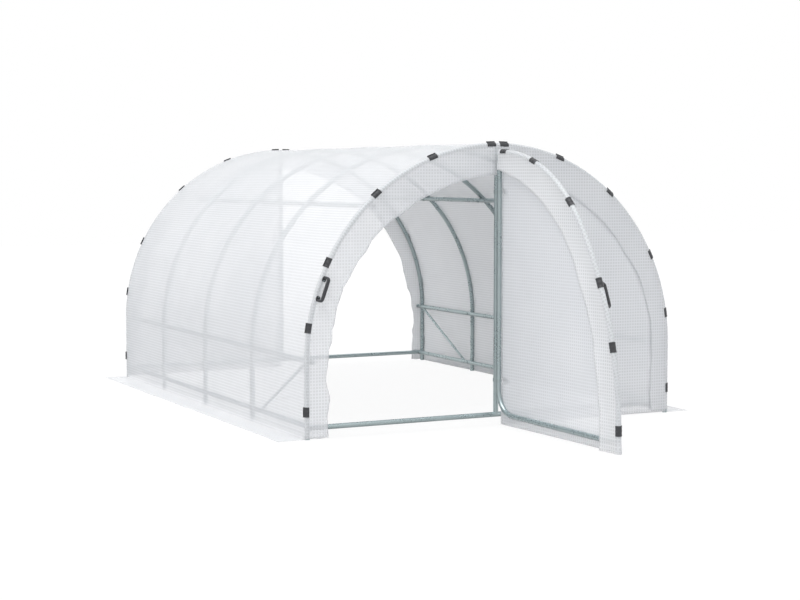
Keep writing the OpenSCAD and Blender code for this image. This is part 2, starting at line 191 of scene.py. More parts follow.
# How far a grip's bar leans in for each metre that it stands off
GRIP_LEAN = 0.4
# Half a grip's length, the radius of its bends, its pads' size, and the places of its pads and screws
GRIP_HALF, GRIP_BEND = 0.081, 0.017
PAD_LONG, PAD_WIDE, PAD_EDGE, PAD_HIGH = 0.031, 0.029, 0.0036, 0.0052
PAD_PLACE, SCREW_PLACE, SCREW_SEAT = 0.068, 0.0595, 0.005
# Heads of the grips' screws and of the bolts of the braces and hinges
SCREW_HEADS = {"Head width": 0.0065, "Head height": 0.0022, "Washer": 0.0008}
BRACE_HEADS = {"Head width": 0.009, "Head height": 0.0038, "Washer": 0.0012}
HINGE_HEADS = {"Head width": 0.008, "Head height": 0.0034, "Washer": 0.001}

# Share of white in what is seen of the floor, and its strength
FLOOR_WHITE, FLOOR_GLOW = 0.86, 1.05


class FilmSettings(bpy.types.PropertyGroup):
    """Sizes and colours of the reinforced film."""

    thread_pitch: bpy.props.FloatProperty(
        name="Thread pitch", description="Distance between the reinforcing threads",
        default=0.0221, unit="LENGTH")
    thread_width: bpy.props.FloatProperty(
        name="Thread width", description="Width of a reinforcing thread",
        default=0.0083, unit="LENGTH")
    thread_colour: bpy.props.FloatVectorProperty(
        name="Thread colour", description="Colour of the threads",
        default=(0.85, 0.857, 0.876), size=3, subtype="COLOR")
    cell_colour: bpy.props.FloatVectorProperty(
        name="Cell colour", description="Colour of the film between the threads",
        default=(0.905, 0.911, 0.925), size=3, subtype="COLOR")
    thread_cover: bpy.props.FloatProperty(
        name="Thread cover", description="Share of the light that the threads stop",
        default=0.86, subtype="FACTOR")
    cell_cover: bpy.props.FloatProperty(
        name="Cell cover", description="Share of the light that the clear film stops",
        default=0.73, subtype="FACTOR")
    sag: bpy.props.FloatProperty(
        name="Sag", description="How far the film sinks in between two arches",
        default=0.005, unit="LENGTH")


class MetalSettings(bpy.types.PropertyGroup):
    """Colours and grain of the galvanised tubes."""

    colour: bpy.props.FloatVectorProperty(
        name="Zinc", description="Colour of the galvanised tubes",
        default=(0.43, 0.51, 0.52), size=3, subtype="COLOR")
    spangle: bpy.props.FloatProperty(
        name="Spangle", description="Size of the crystals in the zinc",
        default=0.009, unit="LENGTH")


class FittingSettings(bpy.types.PropertyGroup):
    """Sizes and colours of the clips, handles and bolts."""

    black: bpy.props.FloatVectorProperty(
        name="Black", description="Colour of the clips and handles",
        default=(0.036, 0.037, 0.041), size=3, subtype="COLOR")
    clip_length: bpy.props.FloatProperty(
        name="Clip length", description="Length of a film clip along the tube",
        default=0.069, unit="LENGTH")
    clip_wall: bpy.props.FloatProperty(
        name="Clip wall", description="Thickness of a film clip at its beads",
        default=0.003, unit="LENGTH")
    clip_flare: bpy.props.FloatProperty(
        name="Clip flare", description="Distance that the edge of a clip's wing stands off the film",
        default=0.009, unit="LENGTH")
    clip_lip: bpy.props.FloatProperty(
        name="Clip lip", description="Length of the flat lip of a film clip",
        default=0.006, unit="LENGTH")
    grip_out: bpy.props.FloatProperty(
        name="Grip out", description="Distance that a grip's outer side stands off",
        default=0.050, unit="LENGTH")
    grip_width: bpy.props.FloatProperty(
        name="Grip width", description="Width of a grip's bar",
        default=0.0235, unit="LENGTH")
    grip_depth: bpy.props.FloatProperty(
        name="Grip depth", description="Depth of a grip's bar",
        default=0.019, unit="LENGTH")
    bolt_width: bpy.props.FloatProperty(
        name="Bolt width", description="Width of a bolt's head across its flats",
        default=0.011, unit="LENGTH")
    bolt_height: bpy.props.FloatProperty(
        name="Bolt height", description="Height of a bolt's head",
        default=0.0045, unit="LENGTH")


class StageSettings(bpy.types.PropertyGroup):
    """Light and floor of the studio."""

    sky: bpy.props.FloatProperty(
        name="Sky", description="Strength of the soft light from all round", default=0.84)
    key: bpy.props.FloatProperty(
        name="Key", description="Strength of the soft light from above", default=1.6)
    floor_colour: bpy.props.FloatVectorProperty(
        name="Floor", description="Colour of the floor",
        default=(0.74, 0.74, 0.75), size=3, subtype="COLOR")


# Nodes and materials


def add(tree, kind, inputs=None, **attributes):
    """Adds a node, sets its attributes, and links or sets its inputs."""
    node = tree.nodes.new(kind)
    for name, value in attributes.items():
        setattr(node, name, value)
    for key, value in (inputs or {}).items():
        if isinstance(value, bpy.types.NodeSocket):
            tree.links.new(value, node.inputs[key])
        else:
            node.inputs[key].default_value = value
    return node


def calc(tree, operation, first, second=0.0):
    """The result of a math node."""
    return add(tree, "ShaderNodeMath", {0: first, 1: second}, operation=operation).outputs[0]


def ramp(tree, value, low, high, start, end, smooth=False):
    """Maps a value from one range to another."""
    kind = "SMOOTHSTEP" if smooth else "LINEAR"
    return add(tree, "ShaderNodeMapRange",
               {"Value": value, "From Min": low, "From Max": high, "To Min": start, "To Max": end},
               interpolation_type=kind).outputs["Result"]


def mix_colour(tree, factor, first, second, blend="MIX"):
    """Mixes two colours."""
    return add(tree, "ShaderNodeMix", {0: factor, 6: first, 7: second},
               data_type="RGBA", blend_type=blend).outputs[2]


def new_group(name, inputs, outputs):
    """A shader group with a vector input and named values; gives the tree and its two ends."""
    tree = bpy.data.node_groups.new(name, "ShaderNodeTree")
    tree.interface.new_socket(name="Vector", in_out="INPUT", socket_type="NodeSocketVector")
    for label, default in inputs:
        socket = tree.interface.new_socket(
            name=label, in_out="INPUT", socket_type="NodeSocketFloat")
        socket.default_value = default
    for label in outputs:
        tree.interface.new_socket(name=label, in_out="OUTPUT", socket_type="NodeSocketFloat")
    return tree, tree.nodes.new("NodeGroupInput"), tree.nodes.new("NodeGroupOutput")


def threads_group():
    """A square grid of threads, 1 on a thread and 0 in the cells."""
    tree, start, end = new_group(
        "Film threads", (("Pitch", 0.024), ("Width", 0.008), ("Softness", 0.002)), ("Threads",))
    split = add(tree, "ShaderNodeSeparateXYZ", {0: start.outputs["Vector"]})
    half = calc(tree, "MULTIPLY", start.outputs["Width"], 0.5)
    inner = calc(tree, "SUBTRACT", half, start.outputs["Softness"])
    outer = calc(tree, "ADD", half, start.outputs["Softness"])
    lines = []
    for axis in (0, 1):
        cell = calc(tree, "DIVIDE", split.outputs[axis], start.outputs["Pitch"])
        off = calc(tree, "ABSOLUTE", calc(tree, "SUBTRACT", calc(tree, "FRACT", cell), 0.5))
        away = calc(tree, "MULTIPLY", off, start.outputs["Pitch"])
        lines.append(ramp(tree, away, inner, outer, 1.0, 0.0, smooth=True))
    tree.links.new(calc(tree, "MAXIMUM", lines[0], lines[1]), end.inputs["Threads"])


def patches_group():
    """Soft patches, for haze on film, bloom on zinc and scuffs on plastic."""
    tree, start, end = new_group(
        "Soft patches", (("Scale", 3.0), ("Detail", 3.0), ("Low", 0.4), ("High", 0.65)), ("Patches",))
    cloud = add(tree, "ShaderNodeTexNoise",
                {"Vector": start.outputs["Vector"], "Scale": start.outputs["Scale"],
                 "Detail": start.outputs["Detail"]})
    tree.links.new(
        ramp(tree, cloud.outputs["Fac"], start.outputs["Low"], start.outputs["High"], 0.0, 1.0, True),
        end.inputs["Patches"])


def use_group(tree, name, vector, **values):
    """Places a shared group in a material."""
    return add(tree, "ShaderNodeGroup", {"Vector": vector, **values},
               node_tree=bpy.data.node_groups[name]).outputs[0]


def new_material(name):
    """A material with its tree and its Principled shader."""
    material = bpy.data.materials.new(name)
    material.use_nodes = True
    tree = material.node_tree
    return material, tree, tree.nodes["Principled BSDF"]


def rgba(colour):
    """A colour with full alpha."""
    return (*colour, 1.0)


def add_relief(tree, shader, height, strength, distance):
    """Raises fine relief on a shader's surface."""
    bump = add(tree, "ShaderNodeBump", {"Height": height, "Strength": strength, "Distance": distance})
    tree.links.new(bump.outputs["Normal"], shader.inputs["Normal"])


def seen_plainly(tree):
    """1 for rays that show the background itself: those of the camera, of mirrors and through glass."""
    rays = tree.nodes.new("ShaderNodeLightPath")
    seen = calc(tree, "MAXIMUM", rays.outputs["Is Camera Ray"], rays.outputs["Is Glossy Ray"])
    return calc(tree, "MAXIMUM", seen, rays.outputs["Is Transmission Ray"])


def one_face(cover):
    """What each of a sheet's two faces stops, so that the sheet stops this share."""
    return 1 - math.sqrt(1 - cover)


def film_material():
    """Clear film with a grid of white threads, whose clear cells let things behind show."""
    look = bpy.context.scene.tunnel_film
    material, tree, shader = new_material("reinforced film")
    metres = add(tree, "ShaderNodeUVMap", uv_map="metres").outputs["UV"]
    threads = use_group(tree, "Film threads", metres, Pitch=look.thread_pitch,
                        Width=look.thread_width, Softness=0.0016)
    haze = use_group(tree, "Soft patches", metres, Scale=1.3, Detail=4.0, Low=0.35, High=0.7)
    crumple = use_group(tree, "Soft patches", metres, Scale=7.0, Detail=3.0, Low=0.2, High=0.8)
    colour = mix_colour(tree, threads, rgba(look.cell_colour), rgba(look.thread_colour))
    hazed = mix_colour(tree, haze, (0.965, 0.97, 0.975, 1), (1, 1, 1, 1))
    toned = mix_colour(tree, 1.0, colour, hazed, "MULTIPLY")
    across = add(tree, "ShaderNodeSeparateXYZ", {0: metres}).outputs[1]
    moved_on = look.thread_pitch * TURNED_IN
    # Painted light: where the film lies double, its colour is mixed toward white for the light between its two
    # layers.
    doubled_painted_light = ramp(tree, across, 0.5 * moved_on, moved_on, 0.0, 0.45)
    tree.links.new(mix_colour(tree, doubled_painted_light, toned, (1, 1, 1, 1)), shader.inputs["Base Color"])
    cover = ramp(tree, threads, 0.0, 1.0, one_face(look.cell_cover), one_face(look.thread_cover))
    tree.links.new(calc(tree, "ADD", cover, calc(tree, "MULTIPLY", haze, 0.02)), shader.inputs["Alpha"])
    tree.links.new(ramp(tree, threads, 0.0, 1.0, 0.34, 0.5), shader.inputs["Roughness"])
    height = calc(tree, "ADD", threads, calc(tree, "MULTIPLY", crumple, 2.0))
    add_relief(tree, shader, height, 0.12, 0.0006)
    shader.inputs["Subsurface Weight"].default_value = 0.35
    shader.inputs["Subsurface Radius"].default_value = (1.0, 1.0, 1.0)
    shader.inputs["Subsurface Scale"].default_value = 0.003
    material.surface_render_method = "BLENDED"
    return material


def zinc_material(name, colour, spangle, rough):
    """Galvanised steel: zinc crystals, dull bloom and fine rolling marks, with painted light on the tops and
    painted shade on the undersides.
    """
    material, tree, shader = new_material(name)
    place = add(tree, "ShaderNodeTexCoord").outputs["Object"]
    crystals = add(tree, "ShaderNodeTexVoronoi", {"Vector": place, "Scale": 1 / spangle})
    grain = add(tree, "ShaderNodeSeparateColor", {0: crystals.outputs["Color"]}).outputs[0]
    bloom = use_group(tree, "Soft patches", place, Scale=5.0, Detail=5.0, Low=0.45, High=0.75)
    marks = use_group(tree, "Soft patches", place, Scale=160.0, Detail=2.0, Low=0.3, High=0.7)
    shade = ramp(tree, grain, 0.0, 1.0, 0.96, 1.04)
    # Painted light and shade: the colour is lighter where the surface faces up and darker where it faces down.
    facing_up = add(tree, "ShaderNodeSeparateXYZ",
                    {0: tree.nodes.new("ShaderNodeNewGeometry").outputs["Normal"]}).outputs[2]
    painted_light_by_facing = ramp(tree, facing_up, -0.8, 0.6, 0.42, 1.1)
    toned = mix_colour(tree, 1.0, rgba(colour), calc(tree, "MULTIPLY", shade, painted_light_by_facing), "MULTIPLY")
    pale = tuple(min(1.0, c * 0.8 + 0.14) for c in colour)
    dull = calc(tree, "MULTIPLY", bloom, 0.35)
    tree.links.new(mix_colour(tree, dull, toned, rgba(pale)), shader.inputs["Base Color"])
    shader.inputs["Metallic"].default_value = 0.85
    rough_grain = ramp(tree, grain, 0.0, 1.0, rough - 0.02, rough + 0.04)
    tree.links.new(calc(tree, "ADD", rough_grain, calc(tree, "MULTIPLY", bloom, 0.12)),
                   shader.inputs["Roughness"])
    height = calc(tree, "ADD", grain, calc(tree, "MULTIPLY", marks, 0.5))
    add_relief(tree, shader, height, 0.05, 0.0004)
    return material


def black_material():
    """Moulded black plastic with a fine grain and a few pale scuffs."""
    material, tree, shader = new_material("moulded black plastic")
    black = bpy.context.scene.tunnel_fittings.black
    place = add(tree, "ShaderNodeTexCoord").outputs["Object"]
    scuffs = use_group(tree, "Soft patches", place, Scale=55.0, Detail=6.0, Low=0.52, High=0.72)
    grain = use_group(tree, "Soft patches", place, Scale=900.0, Detail=1.0, Low=0.3, High=0.7)
    pale = tuple(c * 2.2 for c in black)
    tree.links.new(mix_colour(tree, calc(tree, "MULTIPLY", scuffs, 0.6), rgba(black), rgba(pale)),
                   shader.inputs["Base Color"])
    tree.links.new(ramp(tree, scuffs, 0.0, 1.0, 0.40, 0.55), shader.inputs["Roughness"])
    add_relief(tree, shader, grain, 0.2, 0.0002)
    return material


# Meshes


def linked(name, data):
    """A new object of some data, in the scene."""
    obj = bpy.data.objects.new(name, data)
    bpy.context.scene.collection.objects.link(obj)
    return obj


def give_finish(mesh, material):
    """Makes a material the only one of a mesh."""
    mesh.materials.clear()
    mesh.materials.append(material)


def shell(name, points, faces):
    """An object of closed faces that all point outwards."""
    mesh = bpy.data.meshes.new(name)
    mesh.from_pydata(points, [], faces)
    work = bmesh.new()
    work.from_mesh(mesh)
    bmesh.ops.recalc_face_normals(work, faces=work.faces)
    work.to_mesh(mesh)
    work.free()
    return linked(name, mesh)


def plain_piece(name, source, material, sharp=None):
    """A plain mesh object of what source and its modifiers give; source is removed."""
    bpy.context.view_layer.update()
    graph = bpy.context.evaluated_depsgraph_get()
    mesh = bpy.data.meshes.new_from_object(source.evaluated_get(graph))
    bpy.data.objects.remove(source)
    mesh.name = name
    if sharp is not None:
        mesh.polygons.foreach_set("use_smooth", [True] * len(mesh.polygons))
        mesh.set_sharp_from_angle(angle=math.radians(sharp))
    give_finish(mesh, material)
    return linked(name, mesh)


def ring_faces(first, second, count):
    """Faces between two rings of points, given the numbers of their first points."""
    nexts = [(m + 1) % count for m in range(count)]
    return [(first + m, first + n, second + n, second + m) for m, n in enumerate(nexts)]


def loft(points, faces, loops):
    """Adds closed loops of points joined one to the next, with both ends closed."""
    count = len(loops[0])
    base = len(points)
    for loop in loops:
        points.extend(loop)
    last = base + (len(loops) - 1) * count
    for first in range(base, last, count):
        faces.extend(ring_faces(first, first + count, count))
    faces.append(tuple(base + m for m in reversed(range(count))))
    faces.append(tuple(last + m for m in range(count)))


def on_arc(centre, radius, turn):
    """A place on an arc at an angle, and its outward direction."""
    out = (math.cos(turn), math.sin(turn))
    return (centre[0] + radius * out[0], centre[1] + radius * out[1]), out


def smooth_step(value):
    """A smooth rise from 0 to 1."""
    value = min(1.0, max(0.0, value))
    return value * value * (3 - 2 * value)


def along(table, place):
    """A smooth value between the points of a table of places and values."""
    for (low, first), (high, second) in zip(table, table[1:]):
        if place <= high:
            return first + (second - first) * smooth_step((place - low) / (high - low))
    return table[-1][1]


def cloud(x, y, seed):
    """Smooth noise from -1 to 1."""
    return noise.noise(Vector((x, y, seed * 7.31)))


# Sheets


class Sheet:
    """Collects the grids of one film sheet, at the middle of the film."""

    def __init__(self):
        self.points, self.faces, self.metres = [], [], []

    def grid(self, points, metres, shared=None, holes=()):
        """Adds a grid of points with their places on the flat film. shared gives the point numbers
        of the first column where it is joined to another grid, and holes the cells left out."""
        rows, columns = len(points), len(points[0])
        numbers = [[0] * columns for _ in range(rows)]
        for i in range(rows):
            for j in range(columns):
                if j == 0 and shared is not None:
                    numbers[i][j] = shared[i]
                    continue
                numbers[i][j] = len(self.points)
                self.points.append(points[i][j])
        for i in range(rows - 1):
            for j in range(columns - 1):
                if (i, j) in holes:
                    continue
                corners = ((i, j), (i + 1, j), (i + 1, j + 1), (i, j + 1))
                self.faces.append([numbers[a][b] for a, b in corners])
                self.metres.append([metres[a][b] for a, b in corners])
        return numbers

    def build(self, name, outside, material):
        """Makes the sheet a closed film of its real thickness. outside is a point on its outer side.
        Gives the object and the area of the film."""
        mesh = bpy.data.meshes.new(name)
        mesh.from_pydata(self.points, [], self.faces)
        layer = mesh.uv_layers.new(name="metres")
        layer.data.foreach_set("uv", [v for face in self.metres for pair in face for v in pair])
        outside = Vector(outside)
        work = bmesh.new()
        work.from_mesh(mesh)
        bmesh.ops.recalc_face_normals(work, faces=work.faces)
        nearest = min(work.faces, key=lambda f: (f.calc_center_median() - outside).length)
        if nearest.normal.dot(outside - nearest.calc_center_median()) < 0:
            bmesh.ops.reverse_faces(work, faces=work.faces)
        loose = [v for v in work.verts if not v.link_faces]
        bmesh.ops.delete(work, geom=loose, context="VERTS")
        area = sum(f.calc_area() for f in work.faces)
        for face in work.faces:
            face.smooth = True
        work.to_mesh(mesh)
        work.free()
        thin = linked(name + "_middle", mesh)
        wall = thin.modifiers.new("film", "SOLIDIFY")
        wall.thickness = FILM_T
        wall.offset = 0.0
        wall.use_even_offset = True
        return plain_piece(name, thin, material), area


def arch_line(wall_steps, arc_steps):
    """Stations from the left foot over the crown to the right foot. Each has the tube's middle (x, z),
    the outward direction, the length so far, its side and its place as the flap tables count it."""
    line = []
    for k in range(wall_steps):
        z = LEG_H * k / wall_steps
        line.append(((-ARCH_R, z), (-1.0, 0.0), z, "left", k / wall_steps - 1))
    for k in range(arc_steps + 1):
        turn = math.pi * k / arc_steps
        out = (-math.cos(turn), math.sin(turn))
        place = 1 - abs(1 - 2 * k / arc_steps)
        side = "left" if 2 * k <= arc_steps else "right"
        line.append(((out[0] * ARCH_R, LEG_H + out[1] * ARCH_R), out, LEG_H + turn * ARCH_R, side, place))
    top = LEG_H + math.pi * ARCH_R
    for k in range(1, wall_steps + 1):
        z = LEG_H * (1 - k / wall_steps)
        line.append(((ARCH_R, z), (1.0, 0.0), top + LEG_H - z, "right", -k / wall_steps))
    return line


def cover_lanes(wrap_steps, length_steps):
    """Lanes across the cover from front to back. The first and last turn down round the end tubes and
    have an angle; the main ones between them have a place along the tunnel."""
    start, stop = FRONT_Y - FLAP_STEP, BACK_Y + FLAP_STEP
    front = [("front", math.pi / 2 * (1 - k / wrap_steps), 0.0) for k in range(wrap_steps)]
    main_lanes = [("main", 0.0, start + (stop - start) * k / length_steps) for k in range(length_steps + 1)]
    back = [("back", math.pi / 2 * k / wrap_steps, 0.0) for k in range(1, wrap_steps + 1)]
    return front + main_lanes + back


def cover_grid(line, lanes):
    """Points of the cover over the arches, which sinks in between them, and their flat places."""
    sag = bpy.context.scene.tunnel_film.sag
    start, stop = FRONT_Y - FLAP_STEP, BACK_Y + FLAP_STEP
    points, metres = [], []
    for number, ((x, z), (nx, nz), length, side, _) in enumerate(line):
        foot = number in (0, len(line) - 1)
        row, flat = [], []
        for lane, turn, y in lanes:
            if lane == "main":
                part = ((y - FRONT_Y) / BAY) % 1.0
                slack = 4 * part * (1 - part) if FRONT_Y < y < BACK_Y else 0.0
                low = smooth_step(z / 0.25)
                dip = slack * low * (sag + COVER_NOISE * cloud(length * 2.2, y * 2.2, 1))
                radius, across = FILM_R - dip, y
                spot = y - start
            else:
                radius = FILM_R * math.cos(turn)
                past = FLAP_STEP + FILM_R * math.sin(turn)
                across = ENDS[lane][0] + ENDS[lane][1] * past
                spot = -FILM_R * turn if lane == "front" else stop - start + FILM_R * turn
            height = z + nz * radius
            if foot:
                height = LYING + math.sin(turn) * (FLAP_FEET.get((lane, side), 0.0) - LYING)
            row.append((x + nx * radius, across, height))
            flat.append((length, spot))
        points.append(row)
        metres.append(flat)
    return points, metres


def flap_lift(end, side, place, depth, length):
    """How far a flap stands off its plane, outward from its end. depth is 0 at the tube and 1 at the
    free edge. Where an end panel lies behind it, it only stands outward."""
    calm = min(1.0, (1 - place) / 0.2)
    wave = (math.sin(11.0 * length + (0.6 if side == "left" else 2.1))
            + 0.6 * math.sin(23.0 * length + 1.3))
    rise = smooth_step((depth - 0.3) / 0.7)
    backed = (end, side) in (("front", "right"), ("back", "left"))
    if backed:
        return calm * rise * (BACKED_STAND + BACKED_WAVE * wave)
    return calm * rise * FLAP_WAVE * wave


def flap_grid(end, line, steps):
    """Points of one end's flap, from the tube to its free edge, and their flat places."""
    end_y, sign = ENDS[end]
    plane = end_y + sign * (FLAP_STEP + FILM_R)
    points, metres = [], []
    for number, ((x, z), (nx, nz), length, side, place) in enumerate(line):
        width = along(FLAP_EDGES[end, side], place)
        foot = number in (0, len(line) - 1)
        row = []
        for k in range(steps + 1):
            depth = k / steps
            lift = flap_lift(end, side, place, depth, length)
            px, pz = x - nx * width * depth, z - nz * width * depth
            if foot:
                pz = FLAP_FEET[end, side] + 0.004 * depth * math.sin(9 * depth)
            row.append((px, plane + sign * lift, pz))
        points.append(row)
        metres.append([(px, pz) for px, _, pz in row])
    return points, metres


def skirt_grid(sign, ys, steps):
    """Points of one side's skirt on the ground, from the wall outward, and their flat places."""
    points, metres = [], []
    for y in ys:
        trim = SKIRT_TRIM * (1 + cloud(y * 3.1, sign, 2))
        row, flat = [], []
        for k in range(steps + 1):
            share = k / steps
            reach = ARCH_R + FILM_R + share * (SKIRT_W + FILM_T / 2 - trim)
            curl = SKIRT_CURL * cloud(y * 4.0, share * 1.5, 3 + sign) + SKIRT_LIFT
            row.append((sign * reach, y, LYING + share * max(0.0, curl)))
            flat.append((-sign * share * SKIRT_W, y - ys[0]))
        points.append(row)
        metres.append(flat)
    return points, metres


def make_cover(material):
    """One sheet over all the arches, with its skirts on the ground and its flaps at both ends."""
    wrap_steps, length_steps, flap_steps, skirt_steps = 6, 68, 10, 8
    line = arch_line(16, 96)
    lanes = cover_lanes(wrap_steps, length_steps)
    sheet = Sheet()
    numbers = sheet.grid(*cover_grid(line, lanes))
    for end, column in (("front", 0), ("back", -1)):
        sheet.grid(*flap_grid(end, line, flap_steps), shared=[row[column] for row in numbers])
    inner = slice(wrap_steps, wrap_steps + length_steps + 1)
    ys = [y for _, _, y in lanes[inner]]
    for foot_row, sign in ((0, -1), (-1, 1)):
        sheet.grid(*skirt_grid(sign, ys, skirt_steps), shared=numbers[foot_row][inner])
    cover, area = sheet.build("film_cover", (0, (FRONT_Y + BACK_Y) / 2, 3.0), material)
    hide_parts("cover_wall_left", "cover_shoulder_left", "cover_crown",
                "cover_shoulder_right", "cover_wall_right", "skirt_left", "skirt_right",
                "front_flap_left", "front_flap_right", "back_flap_left", "back_flap_right")
    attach(cover, "tunnel")


def notch_cells(heights):
    """The cells in a grid's first column that are left out round the hinges."""
    middles = [(low + high) / 2 for low, high in zip(heights, heights[1:])]
    return {(i, 0) for i, mid in enumerate(middles)
            if any(abs(mid - z) < NOTCH_Z for z in HINGE_HEIGHTS)}


def make_panel(name, side, end, material):
    """Film over one half of an end, from the post to the arch, behind the flap."""
    end_y, sign = ENDS[end]
    plane = end_y + sign * FILM_R
    leg_steps, arc_steps, columns, last_angle = 14, 43, 20, 88.4
    heights = [PANEL_FOOT + (LEG_H - PANEL_FOOT) * k / leg_steps for k in range(leg_steps)]
    for k in range(arc_steps + 1):
        heights.append(LEG_H + ARCH_R * math.sin(math.radians(last_angle * k / arc_steps)))
    if end == "front":
        heights += NOTCH_EDGES
    heights.sort()
    points, metres = [], []
    for z in heights:
        reach = math.sqrt(ARCH_R ** 2 - max(0.0, z - LEG_H) ** 2) - 0.002
        start = PANEL_CLEAR * smooth_step((0.35 - z) / 0.1) if end == "front" else 0.0
        first = min(max(NOTCH_X, start + 0.006), reach * 0.4)
        row = []
        for x in [start] + [first + (reach - first) * k / columns for k in range(columns + 1)]:
            inside = ARCH_R - (math.hypot(x, z - LEG_H) if z > LEG_H else x)
            free = (smooth_step((x - 0.05) / 0.25) * smooth_step((inside - 0.2) / 0.25)
                    * smooth_step((z - 0.12) / 0.25))
            slack = free * (PANEL_SLACK + PANEL_NOISE * cloud(x * 2.5, z * 2.0, 5 + sign))
            row.append((side * x, plane - sign * slack, z))
        points.append(row)
        metres.append([(px, pz) for px, _, pz in row])
    sheet = Sheet()
    sheet.grid(points, metres, holes=notch_cells(heights) if end == "front" else ())
    panel, area = sheet.build(name, (side * 0.6, plane + sign * 2, 1.0), material)
    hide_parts(name[5:])
    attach(panel, "tunnel")


# Door leaf


def leaf_place(x, y, z):
    """A point of the leaf, which is drawn from its hinge along x with its outside on y."""
    c, s = math.cos(LEAF_TURN), math.sin(LEAF_TURN)
    return (HINGE_X + x * c - y * s, HINGE_Y + x * s + y * c, z)


def hem_place(x, y, z):
    """A point of the leaf's film, which hangs lower and stands out at the foot of its free edge."""
    low = smooth_step((0.1 - z) / 0.08)
    share = max(0.0, min(1.0, x / LEAF_W))
    return leaf_place(x + HEM_SWING * low * share ** 6, y, z - (LEAF_HEM - HEM_FOOT) * low * share ** 2)


def leaf_stations():
    """Stations along the leaf's curved edge, from the crown's top to the hem at its foot: place and
    outward direction."""
    crown_steps, haunch_steps, hem_steps = 25, 44, 5
    turns = [(CROWN, math.pi / 2 - (math.pi / 2 - MEET) * k / crown_steps) for k in range(crown_steps)]
    turns += [(HAUNCH, MEET * (1 - k / haunch_steps)) for k in range(haunch_steps + 1)]
    for height in NOTCH_EDGES:
        for arc, ((_, centre_z), radius) in enumerate(LEAF_ARCS):
            rise = (height - centre_z) / radius
            if 0 < rise < 1:
                turn = math.asin(rise)
                if (turn >= MEET) == (arc == CROWN):
                    turns.append((arc, turn))
    turns.sort(key=lambda t: (t[0], -t[1]))
    stations = [on_arc(*LEAF_ARCS[arc], turn) for arc, turn in turns]
    for k in range(1, hem_steps + 1):
        z = SPRING + (LEAF_HEM + FILM_T / 2 - SPRING) * k / hem_steps
        stations.append(((LEAF_W, z), (1.0, 0.0)))
    return stations


def leaf_face(stations, columns):
    """Points of the film on the leaf's outside, from its hinges to its edge, and their flat places."""
    points, metres = [], []
    for (ex, ez), _ in stations:
        start, first = min(LEAF_FILM_START, ex * 0.1), min(NOTCH_X, ex * 0.15)
        spread = [start] + [first + (ex - first) * k / columns for k in range(columns + 1)]
        low = smooth_step((0.07 - ez) / 0.06)
        row = []
        for x in spread:
            free = (smooth_step((x - 0.04) / 0.25) * smooth_step((ex - x - 0.03) / 0.25)
                    * smooth_step((LEAF_TOP - ez) / 0.3) * smooth_step((ez - 0.12) / 0.25))
            slack = (free * (LEAF_SLACK + LEAF_NOISE * cloud(x * 2.4, ez * 2.4, 9))
                     + low * LEAF_FOOT_SLACK * (1 + cloud(x * 3.0, 0.0, 11)))
            row.append(hem_place(x, FILM_R + slack, ez))
        points.append(row)
        metres.append([(x, ez) for x in spread])
    return points, metres


def leaf_wrap(edge, steps):
    """Points of the film round the leaf's edge, from outside to inside, and their flat places."""
    points, metres = [], []
    for (ex, ez), (ox, oz) in edge:
        turns = [math.pi * k / steps for k in range(steps + 1)]
        reaches = [FILM_R * math.sin(turn) for turn in turns]
        points.append([hem_place(ex + ox * reach, FILM_R * math.cos(turn), ez + oz * reach)
                       for turn, reach in zip(turns, reaches)])
        metres.append([(ex + ox * FILM_R * turn, ez + oz * FILM_R * turn) for turn in turns])
    return points, metres


def leaf_band(edge, steps):
    """Points of the band turned in behind the leaf's edge, with its waves and one fold, and their flat
    places."""
    moved_on = TURNED_IN * bpy.context.scene.tunnel_film.thread_pitch
    lengths = [0.0]
    for (a, _), (b, _) in zip(edge, edge[1:]):
        lengths.append(lengths[-1] + math.dist(a, b))
    points, metres = [], []
    for ((ex, ez), (ox, oz)), length in zip(edge, lengths):
        share = length / lengths[-1]
        width = along(HEM_EDGE, share)
        wave = math.sin(9.5 * length + 0.4) + 0.5 * math.sin(21.0 * length + 2.0)
        row, flat = [], []
        for k in range(steps + 1):
            depth = k / steps
            rise = smooth_step((depth - 0.25) / 0.75)
            stand = rise * (BAND_STAND + BAND_WAVE * wave)
            off_fold = (share - FOLD_PLACE - FOLD_SLANT * depth) / FOLD_WIDTH
            fold = math.exp(-off_fold ** 2) * depth * FOLD_HEIGHT
            x, z = ex - ox * width * depth, ez - oz * width * depth
            row.append(hem_place(max(x, 0.0), -FILM_R - stand - fold, z))
            flat.append((x, z + moved_on))
        points.append(row)
        metres.append(flat)
    return points, metres


def make_leaf_film(material):
    """The leaf's film in one piece: its outside, the turn round its edge and the turned-in band."""
    columns, wrap_steps, band_steps = 12, 10, 9
    stations = leaf_stations()
    sheet = Sheet()
    numbers = sheet.grid(*leaf_face(stations, columns), holes=notch_cells([z for (_, z), _ in stations]))
    shares = [0.1] + [0.15 + 0.85 * k / columns for k in range(columns)]
    edge = [((stations[0][0][0] * share, LEAF_TOP), (0.0, 1.0)) for share in shares] + stations
    rim = numbers[0][:-1] + [row[-1] for row in numbers]
    numbers = sheet.grid(*leaf_wrap(edge, wrap_steps), shared=rim)
    sheet.grid(*leaf_band(edge, band_steps), shared=[row[-1] for row in numbers])
    film, area = sheet.build("film_leaf", leaf_place(0.6, 2.0, 1.0), material)
    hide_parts("door_sheet", "door_hem")
    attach(film, "door")


